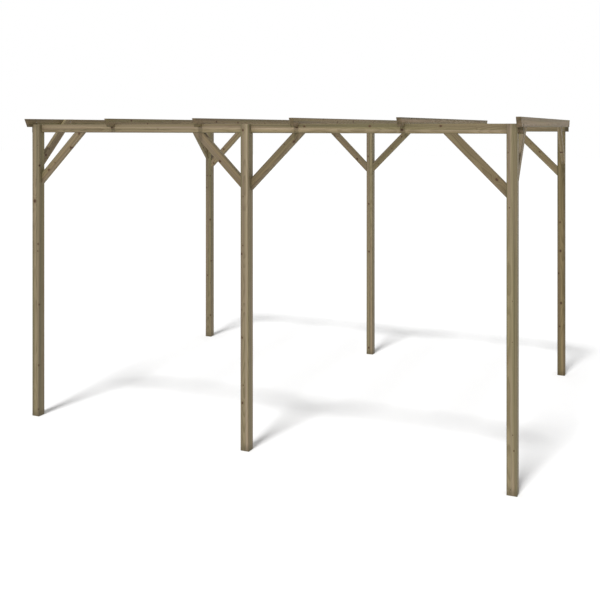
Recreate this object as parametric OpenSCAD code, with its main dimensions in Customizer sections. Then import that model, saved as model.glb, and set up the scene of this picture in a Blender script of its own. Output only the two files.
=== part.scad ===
// Open timber carport frame. Two rows of three posts each carry a beam, which stands in a
// notch on the inner side of the post tops. Rafters sit over the beams in notches of their
// own, the two end ones outside the corner posts, and 45 degree braces stiffen the corners.
// X runs along the beams, Y from the front row to the back one and Z up. The origin is on
// the floor, at the middle of the plan.

/* [Plan] */
// Distance between the centres of neighbouring posts in a row
post_pitch = 1970; // [1200:5:3000]
// Distance between the centres of the front and back rows of posts
row_pitch = 2950; // [1800:5:4500]

/* [Posts] */
// Side of the square post
post_w = 70; // [60:1:140]
// Height of the posts, level with the top of the beams
post_h = 2456; // [1900:5:3200]

/* [Beams] */
// Thickness of a beam, and depth of the notch in the post that takes it
beam_t = 34; // [20:1:45]
// Height of a beam
beam_h = 68; // [50:1:160]

/* [Rafters] */
// Number of rafters, the two outside the corner posts included
rafter_count = 6; // [3:1:8]
// Thickness of a rafter
rafter_t = 34; // [20:1:60]
// Height of a rafter
rafter_h = 68; // [60:1:160]
// Depth of the notch in a rafter where it sits over a beam
rafter_notch = 23; // [8:1:35]
// Play in that notch on each side of the beam
notch_play = 0.5; // [0:0.1:2]
// Reach of a rafter's top edge past the outer face of a post
rafter_reach = 61; // [20:1:400]
// How far the lower corner of a rafter's end is set back from the upper one
rafter_splay = 35; // [0:1:60]

/* [Braces] */
// Thickness of a brace
brace_t = 34; // [20:1:45]
// Width of a brace, square to its length
brace_w = 66; // [40:1:110]
// Run of a brace's long edge along the beam or rafter, equal to its drop down the post
brace_run = 432; // [250:1:700]

/* [Colours] */
// Colour of the posts
post_colour = "#8a7b5f"; // [#8a7b5f, #9c8a64, #6f6450]
// Colour of the beams
beam_colour = "#8d7d5d"; // [#8d7d5d, #a08e66, #72664e]
// Colour of the rafters
rafter_colour = "#7d7158"; // [#7d7158, #93825f, #665c4a]
// Colour of the braces
brace_colour = "#84734f"; // [#84734f, #9a8657, #6b5e44]

/* [Hidden] */
rows = ["front", "back"];
places = ["left", "middle", "right"];

// Post centres, and the inner faces of the two rows
post_x = [-post_pitch, 0, post_pitch];
row_y = row_pitch / 2;
inner_y = row_y - post_w / 2;
side_x = post_pitch + post_w / 2;

// Levels
beam_z = post_h - beam_h;
rafter_z = post_h - rafter_notch;
roof_z = rafter_z + rafter_h;

// Rafters, evenly pitched between the two that lie against the corner posts
rafter_end_x = side_x + rafter_t / 2;
rafter_step = 2 * rafter_end_x / (rafter_count - 1);
rafter_half = row_y + post_w / 2 + rafter_reach;

// Length of a cut end of a brace, at 45 degrees to its edges
brace_cut = brace_w * sqrt(2);
// Post that each brace of a row stands against, and the way it leans from there
row_braces = [[0, 1], [1, -1], [1, 1], [2, -1]];
overcut = 1;

// Names of the sub-parts
function post_name(r, i) = str(rows[r], "_", places[i], "_post");
function beam_name(r) = str(rows[r], "_beam");
function rafter_name(i) = str("rafter_", i + 1);
function row_brace_name(r, i) = str(rows[r], "_brace_", i + 1);
function side_brace_name(r, s) = str(rows[r], "_", places[2 * s], "_side_brace");

// Turns the front row into the back one
module in_row(r) {
    mirror([0, r, 0]) children();
}

// Turns the right side into the left one
module on_side(s) {
    mirror([1 - s, 0, 0]) children();
}

// Board of thickness t whose outline is drawn in Y and Z, starting at x
module board_along_y(x, t) {
    translate([x, 0, 0]) rotate([90, 0, 90]) linear_extrude(t) children();
}

// Board of thickness t whose outline is drawn in X and Z, ending at y and reaching forward
module board_along_x(y, t) {
    translate([0, y, 0]) rotate([90, 0, 0]) linear_extrude(t) children();
}

// Outline of a brace that leans from the post face at 0 out to the run, with its top at 0
module brace_outline() {
    polygon([
        [0, -brace_run],
        [brace_run, 0],
        [brace_run - brace_cut, 0],
        [0, brace_cut - brace_run]
    ]);
}

// Square post, its top notched on the inner side of the row
module post(r, i) {
    color(post_colour) in_row(r) translate([post_x[i], -row_y, 0]) difference() {
        translate([-post_w / 2, -post_w / 2, 0]) cube([post_w, post_w, post_h]);
        translate([-post_w / 2 - overcut, post_w / 2 - beam_t, beam_z])
            cube([post_w + 2 * overcut, beam_t + overcut, beam_h + overcut]);
    }
}

// Reaches to the outer faces of the end rafters
module beam(r) {
    color(beam_colour) in_row(r) translate([-side_x - rafter_t, -inner_y - beam_t, beam_z])
        cube([2 * (side_x + rafter_t), beam_t, beam_h]);
}

// Level rafter with slanted ends, notched from below over both beams
module rafter(i) {
    color(rafter_colour) difference() {
        board_along_y(i * rafter_step - rafter_end_x - rafter_t / 2, rafter_t) polygon([
            [-rafter_half, roof_z],
            [rafter_splay - rafter_half, rafter_z],
            [rafter_half - rafter_splay, rafter_z],
            [rafter_half, roof_z]
        ]);
        for (r = [0, 1]) in_row(r)
            translate([-rafter_end_x - rafter_t, -inner_y - beam_t - notch_play, rafter_z - overcut])
                cube([2 * (rafter_end_x + rafter_t), beam_t + 2 * notch_play, rafter_notch + overcut]);
    }
}

// Stands against a post and under the beam, in the plane of the beam's inner face
module row_brace(r, i) {
    color(brace_colour) in_row(r) translate([post_x[row_braces[i][0]], 0, beam_z])
        on_side((row_braces[i][1] + 1) / 2) translate([post_w / 2, 0, 0])
            board_along_x(-inner_y, brace_t) brace_outline();
}

// Stands against a corner post and the inner face of the end rafter, level with its top
module side_brace(r, s) {
    color(brace_colour) in_row(r) on_side(s) translate([0, -inner_y, roof_z])
        board_along_y(side_x - brace_t, brace_t) brace_outline();
}

for (r = [0, 1]) for (i = [0:2])
    post(r, i);
for (r = [0, 1])
    beam(r);
for (i = [0:rafter_count - 1])
    rafter(i);
for (r = [0, 1]) for (i = [0:len(row_braces) - 1])
    row_brace(r, i);
for (r = [0, 1]) for (s = [0, 1])
    side_brace(r, s);
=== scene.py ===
"""Open timber carport frame: two rows of posts and beams, rafters across them and braces at the joints."""

import math
import random

import bmesh
import bpy
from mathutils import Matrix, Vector


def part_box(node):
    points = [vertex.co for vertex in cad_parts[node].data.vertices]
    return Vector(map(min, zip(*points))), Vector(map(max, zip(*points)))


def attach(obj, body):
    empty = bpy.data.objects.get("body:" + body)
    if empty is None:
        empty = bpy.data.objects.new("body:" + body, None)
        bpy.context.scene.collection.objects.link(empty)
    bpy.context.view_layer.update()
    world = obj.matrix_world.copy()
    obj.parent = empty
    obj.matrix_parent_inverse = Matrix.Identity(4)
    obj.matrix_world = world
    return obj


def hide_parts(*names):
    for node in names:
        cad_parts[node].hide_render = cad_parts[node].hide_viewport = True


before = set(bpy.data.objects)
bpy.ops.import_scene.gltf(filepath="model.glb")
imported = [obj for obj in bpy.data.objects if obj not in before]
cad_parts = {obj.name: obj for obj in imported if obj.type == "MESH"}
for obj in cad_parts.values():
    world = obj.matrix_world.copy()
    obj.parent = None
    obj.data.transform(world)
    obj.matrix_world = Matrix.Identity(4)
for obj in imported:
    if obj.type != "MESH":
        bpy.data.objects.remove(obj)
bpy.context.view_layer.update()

MM = 0.001
draw = random.Random(41)


# ---------------------------------------------------------------- shader maths


class Wire:
    """One socket of a finish. Sums on wires add the Math nodes that work them out."""

    def __init__(self, tree, socket=None):
        self.tree = tree
        self.socket = socket

    def node(self, kind, settings=None, sockets=None, output=0):
        """Adds a node, its settings first and then the values or wires of its sockets."""
        made = self.tree.nodes.new("ShaderNode" + kind)
        for key, value in (settings or {}).items():
            setattr(made, key, value)
        for key, value in (sockets or {}).items():
            if isinstance(value, Wire):
                self.tree.links.new(value.socket, made.inputs[key])
            else:
                made.inputs[key].default_value = value
        return Wire(self.tree, made.outputs[output] if made.outputs else None)

    def maths(self, operation, *values):
        return self.node("Math", {"operation": operation}, dict(enumerate(values)))

    def __add__(self, other):
        return self.maths("ADD", self, other)

    __radd__ = __add__

    def __sub__(self, other):
        return self.maths("SUBTRACT", self, other)

    def __rsub__(self, other):
        return self.maths("SUBTRACT", other, self)

    def __mul__(self, other):
        return self.maths("MULTIPLY", self, other)

    __rmul__ = __mul__

    def __truediv__(self, other):
        return self.maths("DIVIDE", self, other)

    def __rtruediv__(self, other):
        return self.maths("DIVIDE", other, self)

    def vector(self, operation, *values, output=0):
        """Vector maths on this wire and the values after it."""
        given = dict(enumerate((self, *values)))
        return self.node("VectorMath", {"operation": operation}, given, output)

    def length(self):
        return self.vector("LENGTH", output="Value")

    def part(self, axis):
        return self.node("SeparateXYZ", None, {0: self}, "XYZ".index(axis))

    def fade(self, start, end):
        """0 at start, 1 at end, and a smooth step between them."""
        ends = {"Value": self, "From Min": start, "From Max": end}
        return self.node("MapRange", {"interpolation_type": "SMOOTHSTEP"}, ends)

    def two_tone(self, share, first, second, kind="MIX"):
        """Two colours mixed by share, where 0 leaves the first as it is."""
        settings = {"data_type": "RGBA", "blend_type": kind}
        return self.node("Mix", settings, {0: share, 6: first, 7: second}, 2)

    def blend(self, other, share, kind="MIX"):
        """This colour mixed with another by share."""
        return self.two_tone(share, self, other, kind)

    def tint(self, where, colour, start, end, share):
        """This colour, tinted where a value rises from start to end."""
        return self.blend(colour, where.fade(start, end) * share)

    def spot(self, x, y, z):
        """A vector made of three values."""
        return self.node("CombineXYZ", None, {0: x, 1: y, 2: z})

    def stored(self, name):
        """A vector that each vertex of the mesh carries."""
        settings = {"attribute_type": "GEOMETRY", "attribute_name": name}
        return self.node("Attribute", settings, None, "Vector")

    def noise(self, place, scale, detail=2.0, roughness=0.5):
        """A soft random value from 0 to 1 over a vector."""
        sockets = {"Vector": place, "Scale": scale, "Detail": detail, "Roughness": roughness}
        return self.node("TexNoise", {"noise_dimensions": "3D"}, sockets)


def paint(code):
    """A colour written as six hex digits, as the shader's own linear numbers."""
    levels = [int(code[i : i + 2], 16) / 255 for i in (0, 2, 4)]
    linear = [c / 12.92 if c <= 0.04045 else ((c + 0.055) / 1.055) ** 2.4 for c in levels]
    return (*linear, 1.0)


def bare_material(name):
    """A material with no nodes yet, and a wire to start them from."""
    material = bpy.data.materials.new(name)
    material.use_nodes = True
    material.node_tree.nodes.clear()
    return material, Wire(material.node_tree)


# -------------------------------------------------------------- timber finish

# For each timber: pale and dark wood, ring spacing, how dark its cut ends are, and how dark the
# painted shade is over the last centimetres before them.
WOODS = {
    "post_timber": ("8b7e61", "675b40", 3.4 * MM, 0.60, 0.12),
    "beam_timber": ("897a5c", "65573b", 3.0 * MM, 0.70, 0.34),
    "rafter_timber": ("7e7056", "5d503a", 3.0 * MM, 0.22, 0.10),
    "brace_timber": ("817153", "5e5035", 3.2 * MM, 0.45, 0.12),
}
KNOT_SLOTS = {"post_timber": 11, "beam_timber": 11, "rafter_timber": 8, "brace_timber": 4}

# How often the wood changes in a metre, across the grain and along it.
RING_WAVERS = (30.0, 2.2)
STREAKS = (62.0, 0.45)
FIBRES = (900.0, 22.0)
OLIVE_PATCHES = (26.0, 0.6)
PINK_PATCHES = (34.0, 0.5)
RUSTY_PATCHES = (30.0, 3.4)
RIPPLES = 160.0  # the same in every direction

# A tint, the values where it starts and where it is full, and how much of it there is then.
OLIVE = (paint("706b46"), 0.42, 0.64, 0.50)
PINK = (paint("8f7b68"), 0.46, 0.66, 0.55)
RUSTY = (paint("765a40"), 0.62, 0.80, 0.45)
PALE = (paint("a08f7e"), 0.0, 0.45, 0.55)

KNOT_HALO = paint("66502f")
KNOT_DARK = paint("3c2614")
KNOT_LIGHT = paint("573820")
CHECK_SHADOW = paint("3a3123")
CUT_END = paint("4b4029")
# Painted shade over the last centimetres before a cut end.
END_PAINTED_SHADE = paint("2c2417")
# Darker along the arrises.
ARRIS_DARKENING = paint("4b462b")
DAMP_FOOT = paint("544b34")

HEART_DRIFT = 30 * MM  # how far the heart wanders from side to side
RING_WAVER = 6 * MM
RING_BEND = 11 * MM  # how far the rings are bent beside a knot
BEND_FADE = 0.16
LATE_WOOD = 0.60  # how dark it is
KNOT_SLIM = 0.72  # a knot's width, as a share of its height
KNOT_RINGS = 17.0
CHECK_LANES = 6.0  # places for a drying check in each radian round the heart
CHECK_WIDTH = 0.016  # of its place, to either side
# Reach of the painted shade before a cut end.
END_SHADE_REACH = (18 * MM, 52 * MM)  # fades out over these distances from the cut end
DARK_EDGE = (1 * MM, 7.5 * MM)  # from the arris
DAMP = (4 * MM, 75 * MM)  # from the floor
RING_RELIEF = 0.22 * MM
FIBRE_RELIEF = 0.22 * MM
KNOT_RELIEF = 0.4 * MM
CHECK_DEPTH = 1.6 * MM


def along_grain(wire, log, scale, detail=2.0, roughness=0.5):
    """A soft random value that is drawn out along the grain."""
    across, lengthways = scale
    stretched = log.vector("MULTIPLY", (across, across, lengthways))
    return wire.noise(stretched, 1.0, detail, roughness)


def about_the_heart(wire, log):
    """Radius, angle and place along a log whose heart wanders, which gives a face long arches."""
    along = log.part("Z")
    drift = wire.node(
        "TexNoise",
        {"noise_dimensions": "1D"},
        {"W": along, "Scale": 1.3, "Detail": 1.0, "Roughness": 0.4},
        "Color",
    )
    x = log.part("X") + (drift.part("X") - 0.5) * HEART_DRIFT
    y = log.part("Y") + (drift.part("Y") - 0.5) * HEART_DRIFT
    return wire.spot(x, y, 0.0).length(), wire.maths("ARCTAN2", y, x), along


def from_the_knots(wire, radius, angle, along, ripple, knots):
    """How far the nearest knot is, in knot radii. A knot is a branch, at one angle and height."""
    here = wire.spot(angle, along, 0.0)
    shape = wire.spot(radius, KNOT_SLIM, 0.0)
    near = None
    for i in range(knots):
        branch = wire.stored(f"knot_{i + 1}")
        gap = here.vector("SUBTRACT", branch).vector("MULTIPLY", shape).length()
        gap = gap / branch.part("Z")
        near = gap if near is None else wire.maths("MINIMUM", near, gap)
    return near + (ripple - 0.5) * 0.5


def growth_rings(wire, log, radius, near, seed, ring):
    """0 in the spring wood and 1 in the dark late wood, running round the knots."""
    bend = wire.maths("EXPONENT", near * near * -BEND_FADE)
    waver = along_grain(wire, log, RING_WAVERS, 3.0)
    reach = radius + bend * RING_BEND + (waver - 0.5) * RING_WAVER
    pace = wire.noise(wire.spot(reach * 28.0, 0.0, seed), 1.0, 1.0)
    turn = wire.maths("FRACT", reach / ring + pace * 3.0)
    return turn.fade(0.35, 0.90) * (1.0 - turn.fade(0.93, 1.0))


def weathered_wood(wire, log, board, late, streak, fibre, pale, dark):
    """Rings, long streaks, fine fibres, a pale stripe and the treatment's uneven colour."""
    patch = along_grain(wire, log, OLIVE_PATCHES)
    blush = along_grain(wire, log, PINK_PATCHES)
    rust = along_grain(wire, log, RUSTY_PATCHES)
    band = wire.stored("band")
    off = (board.part("X") - band.part("X")) / band.part("Y")
    stripe = wire.maths("EXPONENT", off * off * -1.0) * band.part("Z")
    flush = stripe * (0.75 + (blush - 0.5) * 2.0)
    colour = wire.two_tone(late * LATE_WOOD, pale, dark)
    colour = colour.tint(patch, *OLIVE).tint(blush, *PINK).tint(rust, *RUSTY).tint(flush, *PALE)
    light = 1.0 + (streak - 0.5) * 1.55 + (fibre - 0.5) * 0.26 + stripe * 0.75
    return colour.blend(wire.spot(light, light, light), 1.0, "MULTIPLY")


def with_knots(wire, colour, near):
    """A warm halo, a dark rim and a brown heart with its own rings."""
    halo = 1.0 - near.fade(0.9, 2.6)
    rings = wire.maths("SINE", near * KNOT_RINGS)
    heart = wire.two_tone(rings * 0.3 + 0.5, KNOT_DARK, KNOT_LIGHT)
    return colour.blend(KNOT_HALO, halo * 0.50).blend(heart, 1.0 - near.fade(0.95, 1.25))


def drying_checks(wire, angle, along, seed):
    """1 in the cracks that run along the grain and outwards from the heart."""
    stray = wire.noise(wire.spot(along * 1.7, seed, 0.0), 1.0, 3.0)
    lane = angle * CHECK_LANES + stray * 0.8 + seed
    lane_at = wire.maths("FRACT", lane)
    gape = wire.maths("ABSOLUTE", lane_at - 0.5)
    where = wire.noise(wire.spot((lane - lane_at) * 3.7, along * 2.2, 5.0), 1.0, 1.0)
    return (1.0 - gape.fade(0.0, CHECK_WIDTH)) * where.fade(0.60, 0.68)


def cut_ends(wire):
    """1 on the faces that the saw left across the grain."""
    face = wire.node("NewGeometry", None, None, "True Normal")
    square = face.vector("DOT_PRODUCT", wire.stored("grain"), output="Value")
    return wire.maths("ABSOLUTE", square).fade(0.35, 0.75)


def end_shade_and_dark_marks(wire, colour, board, streak, ripple, end_shade):
    """Painted shade over a length's last centimetres, darker arrises, and dark feet that stand in the wet.
    """
    half = wire.stored("half")
    inward = {axis: half.part(axis) - wire.maths("ABSOLUTE", board.part(axis)) for axis in "XYZ"}
    end = 1.0 - (inward["Z"] + (streak - 0.5) * 0.03).fade(*END_SHADE_REACH)
    from_edge = wire.maths("MAXIMUM", inward["X"], inward["Y"])
    edge = 1.0 - (from_edge + (streak - 0.5) * 0.004).fade(*DARK_EDGE)
    up = wire.node("NewGeometry", None, None, "Position").part("Z")
    damp = 1.0 - (up + (ripple - 0.5) * 0.03).fade(*DAMP)
    # Painted shade over the last centimetres before each cut end, strongest on the beams.
    colour = colour.blend(END_PAINTED_SHADE, end * end_shade)
    # Darker along the arrises.
    colour = colour.blend(ARRIS_DARKENING, edge * 0.52)
    return colour.blend(DAMP_FOOT, damp * 0.45)


def own_cast(wire, tone):
    """Each piece is lighter or darker by its own level, and has yellowed by its own share."""
    level, yellow = tone.part("X"), tone.part("Y")
    return wire.spot(level, level * (1.0 - yellow * 0.07), level * (1.0 - yellow * 0.27))


def timber_finish(name, pale, dark, ring, end_grain, end_shade):
    """Weathered, pressure-treated softwood that is worked out from where the log's heart was."""
    material, wire = bare_material(name)
    log, board, tone = (wire.stored(kept) for kept in ("log", "board", "tone"))
    seed = tone.part("Z")
    ripple = wire.noise(log, RIPPLES)
    streak = along_grain(wire, log, STREAKS, 3.0, 0.55)
    fibre = along_grain(wire, log, FIBRES, 3.0, 0.6)
    radius, angle, along = about_the_heart(wire, log)
    near = from_the_knots(wire, radius, angle, along, ripple, KNOT_SLOTS[name])
    late = growth_rings(wire, log, radius, near, seed, ring)
    check = drying_checks(wire, angle, along, seed)
    ends = cut_ends(wire)

    colour = weathered_wood(wire, log, board, late, streak, fibre, pale, dark)
    colour = with_knots(wire, colour, near)
    colour = colour.blend(CHECK_SHADOW, check * 0.8)
    colour = colour.blend(CUT_END, ends * end_grain)
    # Painted shade before the cut ends, then darker arrises and damp feet.
    colour = end_shade_and_dark_marks(wire, colour, board, streak, ripple, end_shade)
    colour = colour.blend(own_cast(wire, tone), 1.0, "MULTIPLY")

    rough = 0.62 + late * 0.10 + (streak - 0.5) * 0.25 + ends * 0.12
    height = late * RING_RELIEF + (fibre - 0.5) * FIBRE_RELIEF - check * CHECK_DEPTH
    height = height + (1.0 - near.fade(0.8, 1.1)) * KNOT_RELIEF
    relief = wire.node("Bump", None, {"Strength": 1.0, "Distance": 1.0, "Height": height})
    surface = wire.node(
        "BsdfPrincipled",
        None,
        {"Base Color": colour, "Roughness": rough, "Normal": relief, "IOR": 1.45},
    )
    wire.node("OutputMaterial", None, {"Surface": surface})
    return material


finishes = {
    name: timber_finish(name, paint(pale), paint(dark), ring, end_grain, end_shade)
    for name, (pale, dark, ring, end_grain, end_shade) in WOODS.items()
}


# --------------------------------------------------------------------- timber

ARRIS = 2.4 * MM  # how far a planed edge is eased
ARRIS_STEPS = 3
OUTER_EDGE = 0.3  # least turn, in radians, of an edge that is eased
BROAD_FACE = 0.02  # square metres; larger faces stay flat
HEART_AWAY = (52, 80)  # mm from the middle of a piece to the log's heart
HEART_SWING = 0.35  # radians either way
LOG_LENGTH = 40.0
LEVEL_SPREAD = (0.96, 1.04)
YELLOW_SPREAD = (0.0, 0.12)
RAFTER_YELLOW = 0.45
SEEDS = (0.0, 30.0)
STRIPE_PLACE, STRIPE_WIDTH, STRIPE_GAIN = (-20, 20), (8, 14), 0.16  # in mm, where none is listed
KNOT_SIZES, SMALL_KNOTS = (3.0, 7.5), (1.5, 3.0)  # mm; small ones beside listed knots

# Knots on a piece's front face, or on the lower edge of a side brace. Each is how far across from
# the piece's middle, how far up from its foot or lower edge, and its radius, in mm.
FRONT_KNOTS = {
    "front_left_post": [
        (30, 2110, 5), (-5, 1810, 9.5), (30, 1450, 5), (25, 1390, 4), (30, 940, 4.5),
        (30, 430, 5), (30, 60, 4.5), (10, 2280, 2.5),
    ],
    "front_middle_post": [
        (-20, 2410, 5.5), (-25, 1480, 5.5), (-25, 1060, 3), (-25, 850, 5), (-20, 360, 5.5),
    ],
    "front_right_post": [(20, 300, 3), (-20, 1900, 2.5)],
    "back_left_post": [
        (45, 2090, 6.5), (25, 1870, 4.5), (-15, 1870, 4.5), (-20, 1730, 5), (30, 1360, 7),
        (30, 880, 5.5), (-20, 710, 5), (30, 250, 6),
    ],
    "back_middle_post": [(-15, 2120, 5.5), (-10, 1610, 6), (-10, 1100, 6), (-10, 70, 6.5)],
    "back_right_post": [
        (5, 2180, 7), (-15, 1500, 5), (0, 1220, 7), (-15, 1000, 5), (0, 710, 7), (-15, 480, 5),
    ],
    "front_beam": [
        (-1225, 42, 8), (410, 48, 7.5), (470, 52, 5), (975, 50, 5.5), (1210, 24, 6.5),
        (1485, 52, 5.5),
    ],
    "front_brace_2": [(-90, 415, 6.5), (20, 215, 6)],
    "front_brace_3": [(140, 365, 6.5)],
    "front_brace_4": [(145, 125, 6.5)],
    "back_brace_2": [(110, 135, 7)],
    "back_right_side_brace": [(0, 120, 5)],
}

# A paler stripe along the grain: how far from the middle of the width it lies at each end and
# how wide it is, in mm, and how much paler.
PALE_STRIPES = {
    "front_left_post": (4, -6, 15, 0.08),
    "front_middle_post": (13, 12, 11, 0.38),
    "front_right_post": (1, -3, 12, 0.32),
    "front_beam": (15, -17, 9, 0.34),
    "back_beam": (-14, 12, 9, 0.26),
}

# How light each piece is beside the others, and how much more it has yellowed.
LEVELS = {
    "front_left_post": 0.94,
    "front_middle_post": 0.95,
    "back_left_post": 0.91,
    "back_middle_post": 0.92,
    "back_right_post": 0.74,
    "back_beam": 0.71,
    "rafter_1": 0.82,
    "front_brace_1": 1.12,
    "front_brace_2": 0.93,
    "front_brace_3": 0.85,
    "front_brace_4": 0.92,
    "back_brace_2": 0.80,
    "back_brace_3": 0.82,
}
YELLOWED = {"back_right_post": 0.85, "front_right_post": 0.05}


def unit(axis):
    return Vector([float(i == axis) for i in range(3)])


def lie_of(name, points):
    """Which way a piece's grain, width and thickness run, as unit vectors."""
    low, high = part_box(name)
    size = high - low
    if "brace" not in name:
        long = max(range(3), key=lambda i: size[i])
        wide, thick = sorted((i for i in range(3) if i != long), key=lambda i: -size[i])
        return [unit(long), unit(wide), unit(thick)]
    thin = min(range(3), key=lambda i: size[i])
    run = 1 - thin
    foot = min(points, key=lambda p: p.z)
    head = max(points, key=lambda p: p.z)
    grain = Vector((0.0, 0.0, 1.0))
    grain[run] = math.copysign(1.0, head[run] - foot[run])
    grain.normalize()
    return [grain, unit(thin).cross(grain), unit(thin)]


def eased(name):
    """The piece's own solid as a clean mesh, with its outer edges rounded over."""
    made = bmesh.new()
    made.from_mesh(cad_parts[name].data)
    bmesh.ops.remove_doubles(made, verts=made.verts, dist=0.01 * MM)
    bmesh.ops.dissolve_limit(
        made, angle_limit=math.radians(1), verts=made.verts, edges=made.edges
    )
    bmesh.ops.bevel(
        made,
        geom=[e for e in made.edges if e.is_manifold and e.calc_face_angle_signed() > OUTER_EDGE],
        offset=ARRIS,
        offset_type="OFFSET",
        segments=ARRIS_STEPS,
        profile=0.5,
        affect="EDGES",
        clamp_overlap=True,
    )
    for face in made.faces:
        face.smooth = face.calc_area() < BROAD_FACE and len(face.verts) <= 4
    return made


def as_mesh(made, name):
    """The finished mesh of a bmesh, which is let go."""
    mesh = bpy.data.meshes.new(name)
    made.to_mesh(mesh)
    made.free()
    return mesh


def set_down(mesh, attribute, values):
    """Stores one vector for each vertex."""
    layer = mesh.attributes.new(attribute, "FLOAT_VECTOR", "POINT")
    layer.data.foreach_set("vector", [c for value in values for c in value])


def put_in(name, mesh, material):
    """A piece of the frame, which goes where the frame goes."""
    piece = bpy.data.objects.new(name, mesh)
    bpy.context.scene.collection.objects.link(piece)
    mesh.materials.append(material)
    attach(piece, "root")
    return piece


def knots_of(name, slots, in_log, inside):
    """The listed knots and made-up ones: the branch's angle, its place along the log, its radius."""
    low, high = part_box(name)
    middle = (low + high) / 2
    knots = []
    for sideways, up, size in FRONT_KNOTS.get(name, []):
        face_y = high.y - up * MM if "side_brace" in name else low.y
        centre = in_log(Vector((middle.x + sideways * MM, face_y, low.z + up * MM)))
        knots.append(Vector((math.atan2(centre.y, centre.x), centre.z, size * MM)))
    turns = [math.atan2(p.y, p.x) for p in inside]
    along = [p.z for p in inside]
    spare = slots if "side_brace" in name else slots - len(knots)
    step = (max(along) - min(along)) / spare
    sizes = SMALL_KNOTS if name in FRONT_KNOTS else KNOT_SIZES
    for i in range(spare):
        turn = draw.uniform(min(turns), max(turns))
        place = min(along) + (i + draw.uniform(0.1, 0.9)) * step
        knots.append(Vector((turn, place, draw.uniform(*sizes) * MM)))
    return knots[:slots]


def sawn_from_log(name, grain, wide, thick):
    """How a point of the piece finds its place on the board and in the log it was sawn from."""
    middle = sum(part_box(name), Vector()) / 2
    # Sawn with its broad faces across the heart, which lies outside the piece.
    aim = -math.pi / 2 + draw.uniform(-HEART_SWING, HEART_SWING)
    away = draw.uniform(*HEART_AWAY) * MM
    start = draw.uniform(0.0, LOG_LENGTH)
    out = Vector((math.cos(aim), math.sin(aim)))
    across = Vector((-out.y, out.x))

    def in_board(point):
        place = point - middle
        return Vector((place.dot(wide), place.dot(thick), place.dot(grain)))

    def in_log(point):
        place = in_board(point)
        return Vector((place.xy.dot(out) + away, place.xy.dot(across), place.z + start))

    return in_board, in_log


def tone_of(name):
    """How light a piece is, how far it has yellowed, and a seed for its finish."""
    level = draw.uniform(*LEVEL_SPREAD) * LEVELS.get(name, 1.0)
    common = RAFTER_YELLOW if "rafter" in name else 0.0
    yellow = draw.uniform(*YELLOW_SPREAD) + YELLOWED.get(name, common)
    return Vector((level, yellow, draw.uniform(*SEEDS)))


def stripe_of(name, shares):
    """The pale stripe at each share of the length: its place across, its width and how much paler."""
    ends = (draw.uniform(*STRIPE_PLACE), draw.uniform(*STRIPE_PLACE))
    made_up = (*ends, draw.uniform(*STRIPE_WIDTH), STRIPE_GAIN)
    first, last, breadth, gain = PALE_STRIPES.get(name, made_up)
    return [Vector(((first + (last - first) * at) * MM, breadth * MM, gain)) for at in shares]


def timber(name, finish):
    """One sawn piece, with its place in the log and its knots stored for its finish."""
    made = eased(name)
    points = [v.co.copy() for v in made.verts]
    mesh = as_mesh(made, name + "_timber")
    grain, wide, thick = lie_of(name, points)
    in_board, in_log = sawn_from_log(name, grain, wide, thick)
    inside = [in_log(p) for p in points]
    on_board = [in_board(p) for p in points]
    half = Vector([max(abs(p[i]) for p in on_board) for i in range(3)])
    whole = {"grain": grain, "half": half, "tone": tone_of(name)}
    stripe = stripe_of(name, [(p.z / half.z + 1) / 2 for p in on_board])
    for i, knot in enumerate(knots_of(name, KNOT_SLOTS[finish], in_log, inside)):
        whole[f"knot_{i + 1}"] = knot

    set_down(mesh, "log", inside)
    set_down(mesh, "board", on_board)
    set_down(mesh, "band", stripe)
    for attribute, value in whole.items():
        set_down(mesh, attribute, [value] * len(points))
    piece = put_in(name + "_timber", mesh, finishes[finish])
    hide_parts(name)


for node in sorted(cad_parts):
    kind = next(k for k in ("post", "beam", "rafter", "brace") if k in node)
    timber(node, kind + "_timber")


# --------------------------------------------------------------------- screws

HEAD_SIDES = 24
HEAD_RISE = [(5.4, -0.4), (5.4, 0.25), (5.1, 0.62), (4.1, 1.12), (3.1, 1.38)]  # radius, height in mm
RECESS_LOBES, RECESS_RADIUS, LOBE_DEPTH = 6, 2.25, 0.34
RECESS_TAPER = 0.94
RECESS_TOP, RECESS_FLOOR, RECESS_POINT = 1.42, 0.22, 0.12
RECESS_SHADE = (1.8 * MM, 2.6 * MM)  # fades out over these distances from the middle
END_GAP = 34 * MM  # from the tip of a brace to its screw
BEAM_SPREAD = 16 * MM  # either way, between the two screws of a post
LAP_SPREAD = 17 * MM  # either way, between the two screws of a lap
ABOVE_BEAM = 15 * MM  # from the top of the beam to a rafter's screw
ZINC_DARK, ZINC_LIGHT = paint("7f7d76"), paint("959389")
ZINC_STAIN = paint("5f5a4e")
RECESS_RUST = paint("3f2c1c")


def screw_finish():
    """Dulled zinc plate, mottled by the weather and brown in the recess."""
    material, wire = bare_material("screws")
    head = wire.stored("head")
    mottle = wire.noise(head, 900.0, 3.0)
    grit = wire.noise(head, 4200.0)
    radius = head.vector("MULTIPLY", (1.0, 1.0, 0.0)).length()
    deep = 1.0 - radius.fade(*RECESS_SHADE)
    stained = mottle.fade(0.45, 0.66)
    colour = wire.two_tone(grit, ZINC_DARK, ZINC_LIGHT)
    colour = colour.blend(ZINC_STAIN, stained * 0.7)
    colour = colour.blend(RECESS_RUST, deep * 0.65)
    metal = 0.75 - deep * 0.35
    rough = 0.42 + (grit - 0.5) * 0.2 + deep * 0.25 + stained * 0.18
    height = (grit - 0.5) * (0.03 * MM)
    relief = wire.node("Bump", None, {"Strength": 1.0, "Distance": 1.0, "Height": height})
    surface = wire.node(
        "BsdfPrincipled",
        None,
        {"Base Color": colour, "Metallic": metal, "Roughness": rough, "Normal": relief},
    )
    wire.node("OutputMaterial", None, {"Surface": surface})
    return material


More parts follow.
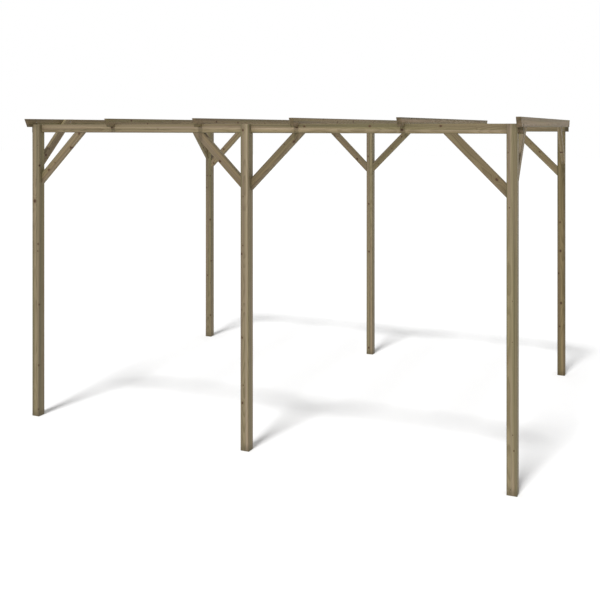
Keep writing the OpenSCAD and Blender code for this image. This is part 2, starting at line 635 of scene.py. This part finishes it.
def turned_head(made, centre, out, local):
    """A raised countersunk head with a six-lobed recess, standing on a face of the timber."""
    side = out.orthogonal().normalized()
    up = out.cross(side)
    spin = draw.uniform(0.0, math.tau)

    def ring_of(height, reach):
        """One ring of vertices, where reach gives the radius at each angle."""
        ring = []
        for i in range(HEAD_SIDES):
            angle = math.tau * i / HEAD_SIDES
            radius = reach(angle)
            turned = side * math.cos(angle + spin) + up * math.sin(angle + spin)
            vert = made.verts.new(centre + (turned * radius + out * height) * MM)
            vert[local] = Vector((radius * math.cos(angle), radius * math.sin(angle), height)) * MM
            ring.append(vert)
        return ring

    def lobed(angle):
        return RECESS_RADIUS + LOBE_DEPTH * math.cos(RECESS_LOBES * angle)

    rings = [ring_of(height, lambda angle, r=radius: r) for radius, height in HEAD_RISE]
    rings.append(ring_of(RECESS_TOP, lobed))
    rings.append(ring_of(RECESS_FLOOR, lambda angle: lobed(angle) * RECESS_TAPER))
    floor = made.verts.new(centre + out * RECESS_POINT * MM)
    floor[local] = Vector((0.0, 0.0, RECESS_FLOOR * MM))
    for i in range(HEAD_SIDES):
        j = (i + 1) % HEAD_SIDES
        for lower, upper in zip(rings, rings[1:]):
            made.faces.new((lower[i], lower[j], upper[j], upper[i])).smooth = True
        made.faces.new((rings[-1][i], rings[-1][j], floor))
    made.faces.new(list(reversed(rings[0])))


def lower_edge(name):
    """A brace's middle, grain and downward side, and how far down its lower edge is and reaches."""
    points = [v.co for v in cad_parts[name].data.vertices]
    grain, wide, _ = lie_of(name, points)
    down = wide if wide.z < 0 else -wide
    middle = sum(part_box(name), Vector()) / 2
    depth = max((p - middle).dot(down) for p in points)
    reach = max((p - middle).dot(grain) for p in points if (p - middle).dot(down) > depth - MM)
    return middle, grain, down, depth, reach


def edge_screws(name):
    """Square to the lower edge of a brace, near its foot and near its head."""
    middle, grain, down, depth, reach = lower_edge(name)
    tips = (END_GAP - reach, reach - END_GAP)
    return [(middle + down * depth + grain * tip, down) for tip in tips]


def row_screws(row):
    """The four braces of a row, and two screws through the beam into each post."""
    spots = []
    for i in range(4):
        spots += edge_screws(f"{row}_brace_{i + 1}")
    low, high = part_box(row + "_beam")
    face, inside = (high.y, 1.0) if low.y < 0 else (low.y, -1.0)
    level = (low.z + high.z) / 2
    for where in ("left", "middle", "right"):
        left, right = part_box(f"{row}_{where}_post")
        for shift in (-BEAM_SPREAD, BEAM_SPREAD):
            at = Vector(((left.x + right.x) / 2 + shift, face, level - shift))
            spots.append((at, Vector((0.0, inside, 0.0))))
    return spots


def rafter_screws():
    """Driven in from a rafter's side, down into the beam below it."""
    spots = []
    rafters = sorted(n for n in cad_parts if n.startswith("rafter"))
    for name in rafters:
        low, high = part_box(name)
        face, side = (high.x, 1.0) if name == rafters[0] else (low.x, -1.0)
        for row in ("front", "back"):
            beam_low, beam_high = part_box(row + "_beam")
            at = Vector((face, (beam_low.y + beam_high.y) / 2, beam_high.z + ABOVE_BEAM))
            spots.append((at, Vector((side, 0.0, 0.0))))
    return spots


def side_brace_screws():
    """One below, into the post, and two on the inner face where the brace laps the rafter."""
    rafter_low, rafter_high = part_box("rafter_1")
    level = (rafter_low.z + rafter_high.z) / 2
    spots = []
    for row in ("front", "back"):
        for hand in ("left", "right"):
            name = f"{row}_{hand}_side_brace"
            spots.append(edge_screws(name)[0])
            middle, grain, down, _, _ = lower_edge(name)
            low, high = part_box(name)
            inner, out = (high.x, 1.0) if low.x < 0 else (low.x, -1.0)
            lap = middle + grain * ((level - middle.z) / grain.z)
            for shift in (-LAP_SPREAD, LAP_SPREAD):
                at = lap + down * shift
                at.x = inner
                spots.append((at, Vector((out, 0.0, 0.0))))
    return spots


def screws(name, spots, finish):
    """Every screw head of one set, as one piece."""
    made = bmesh.new()
    local = made.verts.layers.float_vector.new("head")
    for centre, out in spots:
        turned_head(made, centre, out, local)
    put_in(name, as_mesh(made, name), finish)


dull_zinc = screw_finish()
screws("front_row_screws", row_screws("front"), dull_zinc)
screws("back_row_screws", row_screws("back"), dull_zinc)
screws("rafter_screws", rafter_screws(), dull_zinc)
screws("side_brace_screws", side_brace_screws(), dull_zinc)


# ------------------------------------------------------- floor, light, camera

FLOOR_HALF = 60.0
FLOOR_TONE = 0.80  # what the floor gives back to the timber
FLOOR_SEEN = 0.959  # how pale it looks
SKY = 0.45  # what it lends the timber; it is seen as white
KEY = 0.75
KEY_SPREAD = 9.5  # degrees
KEY_FALLS = (0.06, 1.18, -2.42)
WHITE = (1.0, 1.0, 1.0, 1.0)

LENS = 50.816  # mm, behind a sensor 36 mm wide
SENSOR = 36.0
LENS_DROP = -0.2880  # of the sensor's width
EYE = (2.8827, -7.1912, 2.4319)
TURN = 23.167  # degrees to the left


def white_to_camera(wire):
    """1 where the camera, a reflection or a clear part sees a surface directly."""
    seen, glossy, clear = (
        wire.node("LightPath", None, None, f"Is {ray} Ray")
        for ray in ("Camera", "Glossy", "Transmission")
    )
    return wire.maths("MAXIMUM", seen, wire.maths("MAXIMUM", glossy, clear))


def lay_floor():
    """A plain pale floor that keeps the frame's shadow and otherwise meets the backdrop unseen."""
    made = bmesh.new()
    bmesh.ops.create_grid(made, x_segments=1, y_segments=1, size=FLOOR_HALF)
    mesh = as_mesh(made, "floor")
    floor = bpy.data.objects.new("floor", mesh)
    bpy.context.scene.collection.objects.link(floor)
    material, wire = bare_material("floor_white")
    level = FLOOR_TONE + white_to_camera(wire) * (FLOOR_SEEN - FLOOR_TONE)
    matt = wire.node("BsdfDiffuse", None, {"Color": wire.spot(level, level, level)})
    wire.node("OutputMaterial", None, {"Surface": matt})
    mesh.materials.append(material)


def light_up():
    """An even pale sky with a soft high lamp in front, a little to the left."""
    world = bpy.data.worlds.new("studio")
    world.use_nodes = True
    world.node_tree.nodes.clear()
    bpy.context.scene.world = world
    wire = Wire(world.node_tree)
    strength = SKY + white_to_camera(wire) * (1.0 - SKY)
    sky = wire.node("Background", None, {"Color": WHITE, "Strength": strength})
    wire.node("OutputWorld", None, {"Surface": sky})
    lamp = bpy.data.lights.new("key", "SUN")
    lamp.energy = KEY * math.pi
    lamp.angle = math.radians(KEY_SPREAD)
    key = bpy.data.objects.new("key", lamp)
    key.rotation_euler = Vector(KEY_FALLS).to_track_quat("-Z", "Y").to_euler()
    bpy.context.scene.collection.objects.link(key)


def stand_camera():
    """Where the frame is seen from: level, near the height of the rafters."""
    lens = bpy.data.cameras.new("camera")
    lens.sensor_width = SENSOR
    lens.lens = LENS
    lens.shift_y = LENS_DROP
    camera = bpy.data.objects.new("camera", lens)
    camera.location = EYE
    camera.rotation_euler = (math.radians(90), 0.0, math.radians(TURN))
    bpy.context.scene.collection.objects.link(camera)
    bpy.context.scene.camera = camera


lay_floor()
light_up()
stand_camera()
bpy.context.scene.view_settings.view_transform = "Standard"
